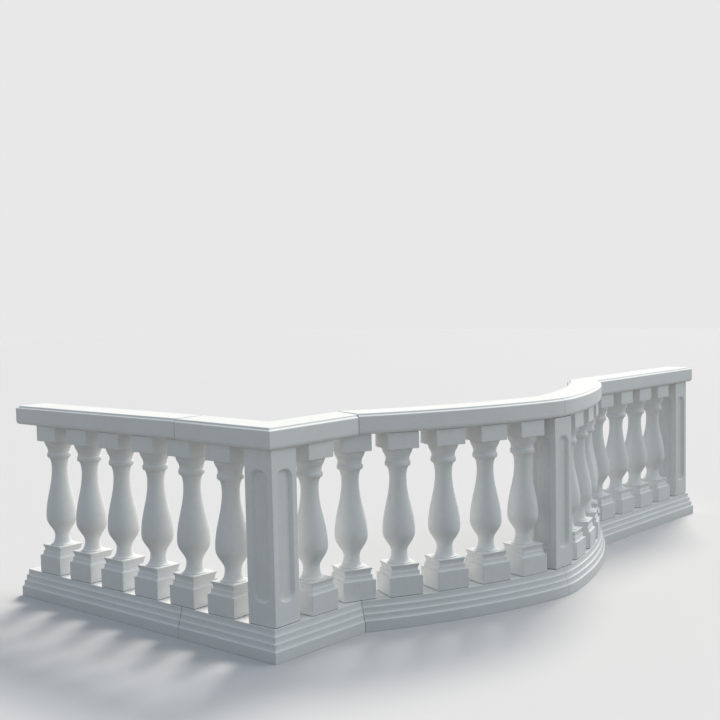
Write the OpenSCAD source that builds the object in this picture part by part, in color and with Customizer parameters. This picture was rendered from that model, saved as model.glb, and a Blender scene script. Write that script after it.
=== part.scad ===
// Stone balustrade: a straight return, a square corner with a pier, a short front wall, a bow of
// two shallow arcs that meet at a middle pier, and a far straight wall that ends at a third pier.
// The origin is on the ground under the centre of the corner pier. The front wall runs along +X
// with its outer side towards -Y, the return runs along +Y with its outer side towards -X, +Z is up.

/* [Overall] */
// Height from the ground to the top of the coping
height = 1000; // [850:10:1200]

/* [Plan] */
// Corner pier to the first baluster of the return
return_first = 251; // [235:1:310]
// Distance between baluster centres in the return
return_pitch = 258; // [240:1:310]
// Length of the return's coping past its last baluster
return_overrun = 238; // [150:1:320]
// Corner pier to the first baluster of the front wall
front_first = 240; // [235:1:290]
// Corner pier to the mitred joint where the bow starts
front_joint = 503; // [480:1:600]
// How far past that joint the baluster over it stands
joint_shift = 8; // [0:1:20]
// Turn of the baluster over the joint, in degrees
joint_turn = 24; // [0:1:35]
// Half of the bow's width between its two mitred joints
bow_half_width = 1085; // [1050:5:1400]
// How far the middle pier stands in front of the straight walls
bow_rise = 413; // [300:1:520]
// Radius of each of the bow's two arcs
bow_radius = 2800; // [2000:50:6000]
// Middle pier to the nearest baluster on the near arc
near_first = 203; // [195:1:240]
// Distance between baluster centres on the near arc
near_pitch = 241; // [200:1:243]
// Middle pier to the nearest baluster on the far arc
far_first = 234; // [200:1:290]
// Distance between baluster centres on the far arc, and over the joint to the far wall
far_bow_pitch = 271; // [225:1:275]
// Distance between baluster centres in the far wall
far_pitch = 253; // [225:1:290]
// Last baluster to the end pier
end_gap = 263; // [200:1:300]
// Length of the far wall's coping past the centre of the end pier
end_overrun = 140; // [100:1:200]
// How much shorter the plinth is than the coping at the two free ends
plinth_setback = 19; // [0:1:60]

/* [Plinth] */
// Height of the plinth
plinth_h = 139; // [110:1:190]
// Width of the plinth at the ground
plinth_w = 226; // [200:1:300]
// Width of the flat top of the plinth
plinth_top_w = 173; // [172:1:198]
// Height of the plain band at the bottom
band_h = 51; // [20:1:60]

/* [Coping] */
// Overall thickness of the coping
coping_t = 96; // [70:1:120]
// Width of the coping across its fascia
coping_w = 191; // [186:1:240]
// Radius of the fascia's lower edge
arris_r = 14; // [4:1:16]

/* [Balusters] */
// Width of the square block at the foot
block_w = 167; // [140:1:172]
// Width of the square block under the coping
abacus_w = 156; // [140:1:162]
// Diameter of the belly
belly_d = 153; // [120:1:175]
// Diameter of the neck above the belly
neck_d = 80; // [60:1:100]
// Diameter of the waist below the belly
waist_d = 75; // [56:1:96]

/* [Piers] */
// Width of the square piers
pier_w = 157; // [130:1:164]
// Width of the plain margin on each side of the sunk panel
panel_margin = 25; // [20:1:40]
// Depth of the panel, at most 3 mm less than its margin
panel_depth = 20; // [4:1:25]
// Radius of the panel's corners
panel_r = 40; // [10:1:50]

/* [Hidden] */
$fn = 64;
eps = 0.01;
arc_fn = 360;                    // segments of a full turn on the bow's arcs

// Derived sizes are rounded to hundredths of a millimetre, so that faces meet exactly
function fine(x) = round(100 * x) / 100;

// Plinth: three coves above a plain band, each cove between a flat ledge and an upright fillet
steps = 3;
plinth_half = plinth_w / 2;
cove_flat = 1.2;                 // ledge left flat in front of a cove
cove_dip = 0.3;                  // how far the cove's circle would reach behind the fillet
cove_h = fine((plinth_h - band_h) / steps / 2);
cove_w = (plinth_w - plinth_top_w) / 2 / steps - cove_flat + cove_dip;
cove_r = fine((cove_h * cove_h + cove_w * cove_w) / (2 * cove_w));
function ledge_z(i) = i == steps ? plinth_h : fine(band_h + i * (plinth_h - band_h) / steps);
function set_in(i) = fine(i * (plinth_w - plinth_top_w) / 2 / steps);

// Coping: rounded lower edge, upright fascia, weathered slope, low raised slab
coping_half = coping_w / 2;
slab_riser = 8;
slope_h = 7;
slope_out = 14;
fascia_top = coping_t - slab_riser - slope_h;

// Bow: chord from the mitred joint to the middle pier, and the headings at its ends
bow_mid_x = front_joint + bow_half_width;
chord = sqrt(bow_half_width * bow_half_width + bow_rise * bow_rise);
chord_turn = atan2(bow_rise, bow_half_width);
half_sweep = asin(chord / 2 / bow_radius);
head_start = chord_turn + half_sweep;
head_mid = chord_turn - half_sweep;
arc_len = bow_radius * 2 * half_sweep * PI / 180;
arc_x = front_joint + bow_radius * sin(head_start);
arc_y = bow_radius * cos(head_start);
mitre = tan(head_start / 2);
far_joint = front_joint + 2 * bow_half_width;

// Runs and their ends
return_count = 6;
near_count = 4;
far_bow_count = 4;
far_count = 4;
return_joint = return_first + return_pitch;
return_end = return_first + (return_count - 1) * return_pitch + return_overrun;
far_start = far_joint + far_first + far_bow_count * far_bow_pitch - arc_len;
end_pier_x = far_start + (far_count - 1) * far_pitch + end_gap;
far_end = end_pier_x + end_overrun;

// Baluster: members as parts of its height, from the foot up
baluster_h = height - plinth_h - coping_t;
block_h = 0.12 * baluster_h;
member_in = 12;                  // how far the square mouldings stand in from the block
member_half = block_w / 2 - member_in;
foot_cove_w = member_in - cove_flat + cove_dip;
foot_cove_r = fine((member_in * member_in + foot_cove_w * foot_cove_w) / (2 * foot_cove_w));
member_band_h = 0.029 * baluster_h;
scotia_h = 0.033 * baluster_h;
scotia_in = 5.5;
scotia_mid = 0.3 * scotia_h;     // height of its deepest line above the band
scotia_up = scotia_h - scotia_mid;
scotia_r = fine((scotia_up * scotia_up + scotia_in * scotia_in) / (2 * scotia_in));
cap_h = 0.008 * baluster_h;
pedestal_h = block_h + member_band_h + scotia_h + cap_h;
disc_r = member_half - 13;
disc_h = 0.009 * baluster_h;
waist_z = 0.257 * baluster_h;
belly_z = 0.385 * baluster_h;
neck_z = 0.713 * baluster_h;
ring_z = 0.784 * baluster_h;
ring_h = 0.032 * baluster_h;
ring_r = 59;
ring_out = 6;                    // how far the ring stands out from the flare below it
collar_r = 55.5;
echinus_z = 0.83 * baluster_h;
echinus_h = 0.06 * baluster_h;
echinus_r = 73;
abacus_h = 0.104 * baluster_h;

// Pier panel
panel_low = fine(0.124 * baluster_h);
panel_high = fine(0.882 * baluster_h);
panel_half = pier_w / 2 - panel_margin;
panel_sunk = min(panel_depth, panel_margin - 3);
panel_round = min(panel_r, panel_half - 2);

function names(stem, n) = [for (i = [1 : n]) str(stem, i)];

// Outer edge of the plinth's section: the outermost face is at x = 0, the stone reaches to -depth
module plinth_edge(depth) {
    lap = 1;                     // each member runs down into the wider one below it
    translate([-depth, 0]) square([depth, band_h]);
    for (i = [0 : steps - 1]) {
        z = ledge_z(i);
        inner = set_in(i + 1);
        translate([-depth, z - lap]) square([depth - inner, ledge_z(i + 1) - z + lap]);
        difference() {
            translate([-depth, z - lap]) square([depth - set_in(i), cove_h + lap]);
            intersection() {
                translate([cove_r - cove_dip - inner, z + cove_h]) circle(r = cove_r, $fn = 96);
                translate([-depth, z]) square([depth, cove_h + lap]);
            }
        }
    }
}

// Outer edge of the coping's section, drawn in the same way from the soffit up
module coping_edge(depth) {
    translate([-depth, 0]) square([depth - arris_r, arris_r + eps]);
    translate([-arris_r, arris_r]) circle(r = arris_r);
    translate([-depth, arris_r]) square([depth, fascia_top - arris_r]);
    polygon([
        [-depth, fascia_top - eps],
        [0, fascia_top - eps],
        [0, fascia_top],
        [-slope_out, fascia_top + slope_h],
        [-slope_out, coping_t],
        [-depth, coping_t]
    ]);
}

module edge(kind, depth) {
    if (kind == "plinth") plinth_edge(depth);
    else coping_edge(depth);
}

function half_of(kind) = kind == "plinth" ? plinth_half : coping_half;
function base_of(kind) = kind == "plinth" ? 0 : height - coping_t;
function shorter(kind) = kind == "plinth" ? plinth_setback : 0;

// Whole section, both sides alike
module section(kind) {
    for (m = [0, 1]) mirror([m, 0]) translate([half_of(kind), 0]) edge(kind, half_of(kind) + 1);
}

// Straight course along +X
module straight(kind, x0, x1) {
    translate([x0, 0, base_of(kind)]) rotate([90, 0, 90]) linear_extrude(x1 - x0) section(kind);
}

// Course along +X whose end at x1 carries the same mouldings round the end
module ended(kind, x0, x1) {
    intersection() {
        straight(kind, x0, x1);
        translate([x1, 0, base_of(kind)])
            rotate([90, 0, 0])
                linear_extrude(3 * half_of(kind), center = true) edge(kind, x1 - x0 + 10);
    }
}

// Upright prism over a plan polygon, taller than the balustrade
module prism(points) {
    translate([0, 0, -10]) linear_extrude(height + 20) polygon(points);
}

// Long stone of the return, from the butt joint to the free end
module return_stone(kind) {
    rotate([0, 0, 90]) ended(kind, return_joint, return_end - shorter(kind));
}

// L-shaped stone: two arms mitred at 45 degrees, the front arm mitred again where the bow starts
module corner_stone(kind) {
    m = 1.2 * half_of(kind);
    rotate([0, 0, 90])
        intersection() {
            straight(kind, -m, return_joint);
            prism([[-m, m], [m, -m], [return_joint + 1, -m], [return_joint + 1, m]]);
        }
    intersection() {
        straight(kind, -m, front_joint + m);
        prism([[-m, -m], [front_joint - m * mitre, -m], [front_joint + m * mitre, m], [m, m]]);
    }
}

// Curved stone from the mitred joint to the middle pier
module bow_stone(kind) {
    spare = 5;                   // degrees of arc past each joint, cut off by the prism
    out = bow_rise + 300;
    in = 300;
    intersection() {
        translate([arc_x, arc_y, base_of(kind)])
            rotate([0, 0, -90 - head_start - spare])
                rotate_extrude(angle = 2 * half_sweep + 2 * spare, $fn = arc_fn)
                    translate([bow_radius, 0]) section(kind);
        prism([
            [front_joint - out * mitre, -out],
            [bow_mid_x, -out],
            [bow_mid_x, in],
            [front_joint + in * mitre, in]
        ]);
    }
}

// Straight stone beyond the bow, mitred at its start and moulded round its free end
module far_stone(kind) {
    m = 1.2 * half_of(kind);
    x1 = far_end - shorter(kind);
    intersection() {
        ended(kind, far_joint - m, x1);
        prism([[far_joint + m * mitre, -m], [x1 + 1, -m], [x1 + 1, m], [far_joint - m * mitre, m]]);
    }
}

// The far half of the bow mirrors the near half about the middle pier
module mirrored() {
    translate([2 * bow_mid_x, 0, 0]) mirror([1, 0, 0]) children();
}

// Square mouldings of the foot: one elevation carried along both axes, so the corners are mitred
module pedestal_side() {
    lap = 1;
    translate([0, block_h + member_band_h + scotia_h]) square([member_half, cap_h]);
    translate([0, block_h - lap]) square([member_half, member_band_h + lap]);
    square([block_w / 2, block_h]);
    difference() {
        translate([0, block_h - lap]) square([block_w / 2, member_in + lap]);
        intersection() {
            translate([member_half - cove_dip + foot_cove_r, block_h + member_in])
                circle(r = foot_cove_r, $fn = 96);
            translate([0, block_h]) square([block_w, member_in + lap]);
        }
    }
    difference() {
        translate([0, block_h + member_band_h - eps]) square([member_half, scotia_h + 2 * eps]);
        translate([member_half - scotia_in + scotia_r, block_h + member_band_h + scotia_mid])
            circle(r = scotia_r, $fn = 96);
    }
}

module pedestal() {
    intersection() {
        pedestal_bar();
        rotate([0, 0, 90]) pedestal_bar();
    }
}

module pedestal_bar() {
    rotate([90, 0, 0])
        linear_extrude(2 * block_w, center = true)
            for (m = [0, 1]) mirror([m, 0]) pedestal_side();
}

// Half a cosine wave from a to b as u goes from 0 to 1
function swell(a, b, u) = a + (b - a) * (1 - cos(180 * u)) / 2;

// Outline of the turned part: disc, hollow to the waist, belly, neck and flare, ring, collar, echinus
function turned_outline(n = 16) = concat(
    [[0, pedestal_h - 1], [disc_r, pedestal_h - 1], [disc_r, pedestal_h + disc_h]],
    [for (i = [0 : n])
        let (a = 90 * i / n, z0 = pedestal_h + disc_h)
        [waist_d / 2 + (disc_r - 2.5 - waist_d / 2) * (1 - sin(a)), waist_z - (waist_z - z0) * cos(a)]],
    [for (i = [1 : n])
        let (u = i / n)
        [swell(belly_d / 2, waist_d / 2, pow(1 - u, 1.2)), waist_z + (belly_z - waist_z) * u]],
    [for (i = [1 : n]) [swell(belly_d / 2, neck_d / 2, i / n), belly_z + (neck_z - belly_z) * i / n]],
    [for (i = [1 : n])
        let (a = 90 * i / n)
        [ring_r - ring_out - (ring_r - ring_out - neck_d / 2) * cos(a),
            neck_z + (ring_z - neck_z) * sin(a)]],
    [for (i = [1 : 10])
        let (a = -90 + 180 * i / 10)
        [ring_r - ring_out + ring_out * cos(a), ring_z + ring_h / 2 + ring_h / 2 * sin(a)]],
    [[collar_r, ring_z + ring_h + 1.5], [collar_r, echinus_z]],
    [for (i = [1 : 10]) [swell(collar_r, echinus_r, i / 10), echinus_z + echinus_h * i / 10]],
    [[echinus_r, baluster_h - abacus_h + 1], [0, baluster_h - abacus_h + 1]]
);

// Baluster, its foot at z = 0 on the plinth and its top under the coping
module baluster() {
    color("gainsboro")
        translate([0, 0, plinth_h]) {
            pedestal();
            rotate_extrude($fn = 64) polygon(turned_outline());
            translate([-abacus_w / 2, -abacus_w / 2, baluster_h - abacus_h])
                cube([abacus_w, abacus_w, abacus_h]);
        }
}

// Point on the near arc, s along the centre line from the mitred joint
function arc_head(s) = -head_start + s / bow_radius * 180 / PI;
module on_arc(s) {
    h = arc_head(s);
    translate([arc_x + bow_radius * sin(h), arc_y - bow_radius * cos(h), 0]) rotate([0, 0, h]) children();
}

// Outline of the panel: a rectangle with large round corners
module panel_outline() {
    straight_w = panel_half - panel_round;
    translate([-straight_w, panel_low]) square([2 * straight_w, panel_high - panel_low]);
    translate([-panel_half, panel_low + panel_round])
        square([2 * panel_half, panel_high - panel_low - 2 * panel_round]);
    for (x = [-straight_w, straight_w], z = [panel_low + panel_round, panel_high - panel_round])
        translate([x, z]) circle(r = panel_round);
}

// Square pier with a sunk panel on each of its four faces
module pier() {
    color("gainsboro")
        translate([0, 0, plinth_h])
            difference() {
                translate([-pier_w / 2, -pier_w / 2, 0]) cube([pier_w, pier_w, baluster_h]);
                for (a = [0 : 90 : 270])
                    rotate([0, 0, a])
                        translate([0, panel_sunk - pier_w / 2, 0])
                            rotate([90, 0, 0]) linear_extrude(panel_sunk + 1) panel_outline();
            }
}

module return_plinth() { color("lightgray") return_stone("plinth"); }
module corner_plinth() { color("lightgray") corner_stone("plinth"); }
module near_bow_plinth() { color("lightgray") bow_stone("plinth"); }
module far_bow_plinth() { color("lightgray") mirrored() bow_stone("plinth"); }
module far_plinth() { color("lightgray") far_stone("plinth"); }
module return_coping() { color("whitesmoke") return_stone("coping"); }
module corner_coping() { color("whitesmoke") corner_stone("coping"); }
module near_bow_coping() { color("whitesmoke") bow_stone("coping"); }
module far_bow_coping() { color("whitesmoke") mirrored() bow_stone("coping"); }
module far_coping() { color("whitesmoke") far_stone("coping"); }
module corner_pier() { pier(); }
module bow_pier() { translate([bow_mid_x, -bow_rise, 0]) pier(); }
module end_pier() { translate([end_pier_x, 0, 0]) pier(); }
module return_baluster(i) { translate([0, return_first + (i - 1) * return_pitch, 0]) baluster(); }
module front_baluster(i) {
    if (i == 1) translate([front_first, 0, 0]) baluster();
    else translate([front_joint, 0, 0]) rotate([0, 0, -joint_turn]) translate([joint_shift, 0, 0]) baluster();
}
module near_bow_baluster(i) { on_arc(arc_len - near_first - (near_count - i) * near_pitch) baluster(); }
module far_bow_baluster(i) { mirrored() on_arc(arc_len - far_first - (i - 1) * far_bow_pitch) baluster(); }
module far_baluster(i) { translate([far_start + (i - 1) * far_pitch, 0, 0]) baluster(); }

return_plinth();
corner_plinth();
near_bow_plinth();
far_bow_plinth();
far_plinth();
return_coping();
corner_coping();
near_bow_coping();
far_bow_coping();
far_coping();
corner_pier();
bow_pier();
end_pier();
for (i = [1 : return_count])
    return_baluster(i);
for (i = [1 : 2])
    front_baluster(i);
for (i = [1 : near_count])
    near_bow_baluster(i);
for (i = [1 : far_bow_count])
    far_bow_baluster(i);
for (i = [1 : far_count])
    far_baluster(i);
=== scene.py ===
"""Stone balustrade with a square corner and a bowed front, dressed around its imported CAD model.

Each course, pier and baluster of the frame is replaced by a surface worked out with numpy: its arrises are
softened, its panels splayed, and it stands on a thin bed of mortar. Lengths are in metres in the CAD frame.
"""

import math

import bpy
import numpy as np
from mathutils import Matrix, Vector


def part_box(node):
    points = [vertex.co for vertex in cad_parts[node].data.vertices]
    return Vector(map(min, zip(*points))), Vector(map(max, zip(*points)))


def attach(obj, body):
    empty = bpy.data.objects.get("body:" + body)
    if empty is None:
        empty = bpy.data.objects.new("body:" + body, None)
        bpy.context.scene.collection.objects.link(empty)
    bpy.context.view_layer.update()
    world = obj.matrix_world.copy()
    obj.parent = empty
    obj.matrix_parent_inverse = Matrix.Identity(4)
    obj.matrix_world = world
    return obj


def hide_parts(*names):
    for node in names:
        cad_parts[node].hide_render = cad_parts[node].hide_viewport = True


bl_info = {
    "name": "Stone Balustrade",
    "version": (1, 0, 0),
    "blender": (4, 5, 0),
    "location": "View3D > Sidebar > Balustrade",
    "description": "Dresses a moulded stone balustrade with soft arrises, mortar beds and worn cast stone",
    "category": "Add Mesh",
}

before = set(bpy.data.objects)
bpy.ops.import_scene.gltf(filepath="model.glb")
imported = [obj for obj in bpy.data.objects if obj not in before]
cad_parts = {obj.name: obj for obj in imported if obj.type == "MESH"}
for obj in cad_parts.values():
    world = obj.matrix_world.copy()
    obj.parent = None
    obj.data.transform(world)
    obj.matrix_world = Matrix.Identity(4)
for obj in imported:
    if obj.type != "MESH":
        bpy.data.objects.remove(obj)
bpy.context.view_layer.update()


# Places taken from the frame


def low(node):
    """Lowest corner of a CAD node."""
    return np.array(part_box(node)[0])


def high(node):
    """Highest corner of a CAD node."""
    return np.array(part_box(node)[1])


def centre(node):
    """Middle of a CAD node's box, which is its axis in plan for a pier or a baluster."""
    return (low(node) + high(node)) / 2


def half_width(node):
    """Half of a CAD node's size along x."""
    return (high(node)[0] - low(node)[0]) / 2


def front_joint():
    """Where the corner stone's centre line meets the near arc's, in plan: where its coping ends, less the
    mitre. The mitre's slope is how far the plinth's end lies past the coping's, for each unit of its extra
    half width."""
    plinth_end, coping_end = high("corner_plinth")[0], high("corner_coping")[0]
    slope = (plinth_end - coping_end) / (PLINTH_HALF - COPING_HALF)
    return np.array([coping_end - COPING_HALF * slope, 0.0])


def circle_through(a, b, c):
    """Centre and radius of the circle through three points in plan, by the equal-distance equations."""
    rows = 2 * np.array([b - a, c - a])
    middle = np.linalg.solve(rows, [b @ b - a @ a, c @ c - a @ a])
    return middle, float(np.linalg.norm(a - middle))


PLINTH_TOP = high("corner_plinth")[2]
SOFFIT = low("corner_coping")[2]
TOP = high("corner_coping")[2]
PLINTH_HALF = high("return_plinth")[0]
COPING_HALF = high("return_coping")[0]
PIER_HALF = half_width("end_pier")
BLOCK_HALF = half_width("return_baluster_1")
ABACUS_HALF = BLOCK_HALF - 0.0055

# What stands between the courses: its height, where a baluster's abacus starts, and the mortar over its head
STANDING = SOFFIT - PLINTH_TOP
ABACUS_FOOT = 0.896 * STANDING
HEAD_BED = 0.0015

# The bow: two arcs that mirror each other and a short one that rounds their crown, with a finer joint there
RETURN_JOINT = low("return_coping")[1]
FRONT_JOINT = front_joint()
BOW_MID = centre("bow_pier")[:2]
FAR_JOINT = 2 * BOW_MID[0] - FRONT_JOINT[0]
BOW_CENTRE, BOW_RADIUS = circle_through(FRONT_JOINT, centre("near_bow_baluster_2")[:2], BOW_MID)
HEAD_START = math.atan2(BOW_CENTRE[0] - FRONT_JOINT[0], BOW_CENTRE[1] - FRONT_JOINT[1])
MITRE = math.tan(HEAD_START / 2)
CROWN_RADIUS = 0.5
CROWN_TURN = math.asin((BOW_CENTRE[0] - BOW_MID[0]) / (BOW_RADIUS - CROWN_RADIUS))
CROWN_CENTRE_Y = BOW_CENTRE[1] - (BOW_RADIUS - CROWN_RADIUS) * math.cos(CROWN_TURN)
MIDDLE_GAP = 0.5

ROWS = ("return", "front", "near_bow", "far_bow", "far")
BALUSTERS = [name for row in ROWS for name in sorted(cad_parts) if name.startswith(row + "_baluster")]
PIERS = ["corner_pier", "bow_pier", "end_pier"]

# Degrees by which single pieces are turned from square to their wall
ASKEW = {
    "return_baluster_1": 1.4,
    "return_baluster_2": -0.6,
    "return_baluster_3": 0.8,
    "return_baluster_4": 1.0,
    "return_baluster_5": 1.5,
    "return_baluster_6": 1.2,
    "corner_pier": 2.5,
    "front_baluster_1": -1.2,
    "front_baluster_2": -24.0,
    "far_baluster_2": 1.0,
    "far_baluster_3": -0.8,
}


# Settings that a user would change


class StoneShape(bpy.types.PropertyGroup):
    """Sizes of the small shapes that finish each stone."""

    arris: bpy.props.FloatProperty(
        name="Arris", description="Rounding of the stones' edges",
        default=0.0024, min=0.0005, max=0.005, subtype="DISTANCE",
    )
    coping_corner: bpy.props.FloatProperty(
        name="Coping corner", description="Rounding of the coping's upright corners at its free ends",
        default=0.008, min=0.001, max=0.02, subtype="DISTANCE",
    )
    settled: bpy.props.FloatProperty(
        name="Settled", description="How far the corner coping stone has sunk at its corner",
        default=0.0066, min=0, max=0.010, subtype="DISTANCE",
    )
    bed: bpy.props.FloatProperty(
        name="Bed", description="Thickness of the mortar under each block and pier",
        default=0.0022, min=0.001, max=0.006, subtype="DISTANCE",
    )
    joint: bpy.props.FloatProperty(
        name="Joint", description="Width of the upright joints between stones",
        default=0.004, min=0.001, max=0.008, subtype="DISTANCE",
    )
    splay: bpy.props.FloatProperty(
        name="Splay", description="How far a pier panel's edge leans in on its way down",
        default=0.010, min=0.0, max=0.018, subtype="DISTANCE",
    )


class StoneLook(bpy.types.PropertyGroup):
    """Colours of the cast stone and its mortar, its mottling, and the tint of dirt and painted shade in its
    hollows.
    """

    stone: bpy.props.FloatVectorProperty(
        name="Stone", description="Colour of the clean cast stone",
        default=(0.868, 0.872, 0.868), min=0, max=1, size=3, subtype="COLOR",
    )
    # Tint for the hollows of the mouldings: partly dirt, partly painted shade where the mouldings shade
    # themselves.
    sheltered: bpy.props.FloatVectorProperty(
        name="Dirt and shade", description="Tint that gathers in the hollows of the mouldings",
        default=(0.50, 0.475, 0.43), min=0, max=1, size=3, subtype="COLOR",
    )
    mortar: bpy.props.FloatVectorProperty(
        name="Mortar", description="Colour of the beds of mortar",
        default=(0.52, 0.505, 0.475), min=0, max=1, size=3, subtype="COLOR",
    )
    mottling: bpy.props.FloatProperty(
        name="Mottling", description="Strength of the cloudy changes of tone in the stone",
        default=0.35, min=0, max=1, subtype="FACTOR",
    )
    # Strength of that tint of dirt and painted shade.
    dirt_and_shade_strength: bpy.props.FloatProperty(
        name="Dirt and shade strength", description="Strength of the tint in the hollows",
        default=0.2, min=0, max=1, subtype="FACTOR",
    )


class StudioLook(bpy.types.PropertyGroup):
    """Floor, backdrop and lights."""

    floor: bpy.props.FloatVectorProperty(
        name="Floor", description="Colour of the floor as the camera sees it",
        default=(0.70, 0.69, 0.695), min=0, max=1, size=3, subtype="COLOR",
    )
    returned: bpy.props.FloatVectorProperty(
        name="Returned", description="Colour of the light that the floor throws back on to the stone",
        default=(0.24, 0.24, 0.23), min=0, max=1, size=3, subtype="COLOR",
    )
    backdrop: bpy.props.FloatVectorProperty(
        name="Backdrop", description="Colour of the backdrop as the camera sees it",
        default=(0.808, 0.808, 0.806), min=0, max=1, size=3, subtype="COLOR",
    )
    key: bpy.props.FloatProperty(
        name="Key", description="Strength of the soft light from behind the balustrade", default=2.30, min=0
    )
    rim: bpy.props.FloatProperty(
        name="Rim", description="Strength of the light that edges the shafts", default=0.58, min=0
    )
    fill: bpy.props.FloatProperty(
        name="Fill", description="Strength of the weak soft light on the front wall", default=0.66, min=0
    )
    sky: bpy.props.FloatProperty(
        name="Sky", description="Strength of the even light from all round", default=0.45, min=0, max=2
    )


# Meshes from arrays


def mesh_piece(name, verts, quads, caps, marks, material, nodes):
    """Object on the root body from vertices, four-sided faces and many-sided caps. marks holds one value
    per vertex for each named attribute that the materials read."""
    mesh = bpy.data.meshes.new(name)
    faces = np.asarray(quads, int).tolist() + [list(map(int, cap)) for cap in caps]
    mesh.from_pydata(np.asarray(verts, float), [], faces)
    for key, values in marks.items():
        attribute = mesh.attributes.new(key, "FLOAT", "POINT")
        attribute.data.foreach_set("value", np.asarray(values, np.float32).ravel())
    mesh.polygons.foreach_set("use_smooth", np.ones(len(mesh.polygons), bool))
    mesh.materials.append(material)
    mesh.update()
    piece = bpy.data.objects.new(name, mesh)
    bpy.context.scene.collection.objects.link(piece)
    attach(piece, "root")
    if nodes:
        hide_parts(*nodes)
    return piece


def flatten_faces(piece):
    """Weights normals by face size, so that large faces shade flat beside their softened edges."""
    modifier = piece.modifiers.new("Flat faces", "WEIGHTED_NORMAL")
    modifier.mode = "FACE_AREA"
    modifier.weight = 90
    modifier.keep_sharp = True


def turned(angle):
    """Matrix that turns rows of points about the upright axis, anticlockwise."""
    c, s = math.cos(angle), math.sin(angle)
    return np.array([[c, s, 0], [-s, c, 0], [0, 0, 1]])


def stand(verts, name, z):
    """Points about a node's own axis, turned by its heading and set at its place in plan and at height z."""
    return verts @ turned(heading_at(name)) + [*centre(name)[:2], z]


def ring_quads(rows, columns, start=0):
    """Faces between stacked closed rings: point j of ring t joins its neighbours at t + 1 and j + 1."""
    t, j = np.meshgrid(np.arange(rows - 1) * columns, np.arange(columns), indexing="ij")
    k = (j + 1) % columns
    return np.stack([t + j, t + k, t + columns + k, t + columns + j], -1).reshape(-1, 4) + start


def soften(points, radii):
    """Profile with its corners rounded: at each corner a quadratic curve runs from a point on the edge
    before it to one on the edge after it, with the corner as its control point. It takes up less than half
    of an edge, and a radius of 0 leaves the point as it is."""
    points, steps, most = np.asarray(points, float), 4, 0.48
    out = []
    for i, r in enumerate(radii):
        if r <= 0 or i in (0, len(points) - 1):
            out.append(points[i : i + 1])
            continue
        before, after = points[i - 1] - points[i], points[i + 1] - points[i]
        lb, la = np.linalg.norm(before), np.linalg.norm(after)
        a = points[i] + before / lb * min(r, most * lb)
        b = points[i] + after / la * min(r, most * la)
        s = np.linspace(0, 1, steps + 1)[:, None]
        out.append((1 - s) ** 2 * a + 2 * s * (1 - s) * points[i] + s**2 * b)
    return np.concatenate(out)


# The hollow mark from this sets where the stone material tints dirt and painted shade.
def shelter(profile, outward):
    """How far each profile point lies in a hollow, from -1 to 1: the mean of the profile over 31 mm of its
    length, less the point itself, measured along outward and divided by 6 mm."""
    spacing, samples, deepest = 0.001, 31, 0.006
    step = np.linalg.norm(np.diff(profile, axis=0), axis=1)
    at = np.concatenate([[0], np.cumsum(step)])
    even = np.arange(0, at[-1], spacing)
    value = np.interp(even, at, profile @ outward)
    padded = np.pad(value, samples // 2, mode="edge")
    mean = np.convolve(padded, np.ones(samples) / samples, mode="valid")
    return np.clip(np.interp(at, even, mean - value) / deepest, -1, 1)


# The two courses


def plinth_profile(arris):
    """Set-in and height of the plinth's outer face, from the ground up: a plain band, then three coves.
    Each has a narrow ledge, a hollow quarter of an ellipse that sweeps in and up to half of its rise, and
    an upright fillet."""
    band, coves, top_half, ledge = 0.051, 3, 0.0865, 0.0026
    depth = PLINTH_HALF - top_half
    rise = (PLINTH_TOP - band) / coves
    a = np.linspace(0, math.pi / 2, 9)[1:]
    points, radii = [(0.010, 0.0), (0.0, 0.0), (0.0, band)], [0, arris, arris]
    for i in range(coves):
        z, outer, inner = band + i * rise, i * depth / coves, (i + 1) * depth / coves
        points += [(outer + ledge, z + 0.0002)]
        points += list(zip(inner - (inner - outer - ledge) * (1 - np.sin(a)), z + rise / 2 * (1 - np.cos(a))))
        points += [(inner, z + rise)]
        radii += [0] * (1 + len(a)) + [arris]
    points += [(depth + 0.012, PLINTH_TOP)]
    radii += [0]
    return soften(points, radii)


def coping_profile():
    """Set-in and height of the coping's outer face, from the soffit up: a quarter ellipse under the upright
    fascia, a weathered slope, and a low riser that a second quarter ellipse turns over into the raised
    slab."""
    under, under_rise = 0.015, 0.019
    slope_foot, slope_head, slope_run = 0.0132, 0.0068, 0.013
    riser, over, over_rise = 0.0134, 0.007, 0.0052
    a = np.linspace(0, math.pi / 2, 9)
    height = TOP - SOFFIT
    lower = list(zip(under * (1 - np.sin(a)), under_rise * (1 - np.cos(a))))
    slope = [(0.0, height - slope_foot), (slope_run, height - slope_head)]
    upper = list(zip(riser + over * (1 - np.cos(a)), height - over_rise * (1 - np.sin(a))))
    points = [(0.03, 0.0)] + lower + slope + upper + [(0.032, height)]
    radii = [0] * (1 + len(a)) + [0.003, 0.0012] + [0] * (1 + len(a))
    return soften(points, radii) + [0, SOFFIT]


def bridge(a, corner, b, count):
    """Points of the quadratic curve from a to b with control point corner, less its ends; a row at a time."""
    s = np.linspace(0, 1, count + 2)[1:-1, None]
    return (1 - s) ** 2 * a[:, None] + 2 * s * (1 - s) * corner[:, None] + s**2 * b[:, None]


def toward(a, b, distance):
    """Point at a distance from a on the way to b; a row at a time."""
    step = b - a
    return a + step / np.linalg.norm(step, axis=1, keepdims=True) * distance


def straight_side(start, end, trim_a, trim_b, count):
    """Even points on the line from start to end, less a trim at each end; a row at a time."""
    a, b = toward(start, end, trim_a), toward(end, start, trim_b)
    s = np.linspace(0, 1, count)[:, None]
    return a[:, None] * (1 - s) + b[:, None] * s


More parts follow.
